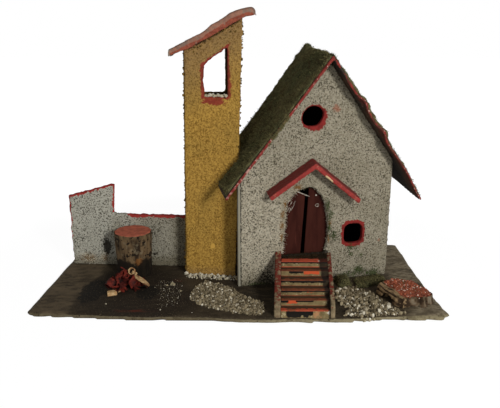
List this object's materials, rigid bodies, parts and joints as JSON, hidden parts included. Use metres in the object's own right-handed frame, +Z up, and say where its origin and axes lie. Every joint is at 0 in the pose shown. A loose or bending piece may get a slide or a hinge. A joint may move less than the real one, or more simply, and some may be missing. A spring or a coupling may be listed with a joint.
{
  "type": "papier-mache nativity house",
  "caption": "Papier-mache nativity house on a card board: rendered house with a mossy roof, ochre bell tower, garden wall, stairs, log stump, camp fire and gravel.",
  "frame": {"origin": "middle of the board's underside, at the centre of the whole part's footprint", "axes": "+Z up, +X to the right along the board's front edge, +Y to the back"},
  "size_m": [0.3998, 0.195, 0.2856],
  "materials": {
    "board": "thick card painted dark brown-grey, khaki where the cut edge is bare",
    "white_render": "thick card with a grainy grey-white papier-mache render",
    "ochre_render": "thick card with a grainy papier-mache render painted ochre",
    "roof_board": "folded card with red painted edges and a dark underside",
    "moss": "dried moss, dark olive, glued on",
    "door_card": "thin card painted dark red-brown, scratched",
    "red_card": "folded card painted red, chipped at the edges",
    "terracotta_card": "card painted faded terracotta, worn",
    "stair_card": "folded card, treads painted red-orange, risers bare",
    "stringer_card": "card on edge, red paint worn off to cream",
    "log": "sawn log with bark, top painted faded red",
    "red_shavings": "wood shavings painted red",
    "pale_shavings": "bare wood shavings",
    "gravel": "fine grey gravel, glued on",
    "crumbs": "pale crumbs of render and stone",
    "bark": "rough tree bark, top painted red-orange",
    "red_grit": "grit glued on and painted red-orange"
  },
  "bodies": {
    "root": {"base_board": "board", "house_front_wall": "white_render", "house_back_wall": "white_render", "house_left_wall": "white_render", "house_right_wall": "white_render", "garden_wall": "white_render", "tower_front_wall": "ochre_render", "tower_back_wall": "ochre_render", "tower_left_wall": "ochre_render", "tower_right_wall": "ochre_render", "roof_card": "roof_board", "roof_moss_left": "moss", "roof_moss_right": "moss", "moss_by_stairs": "moss", "moss_by_wall": "moss", "door_left_leaf": "door_card", "door_right_leaf": "door_card", "door_canopy": "red_card", "tower_roof": "terracotta_card", "stair_flight": "stair_card", "stair_left_stringer": "stringer_card", "stair_right_stringer": "stringer_card", "log_stump": "log", "fire_shavings": "red_shavings", "shaving_ring": "pale_shavings", "shaving_curl": "pale_shavings", "wood_chip": "pale_shavings", "gravel_path": "gravel", "gravel_patch": "gravel", "tower_crumbs": "crumbs", "bark_slab": "bark", "bark_grit": "red_grit"}
  },
  "joints": []
}
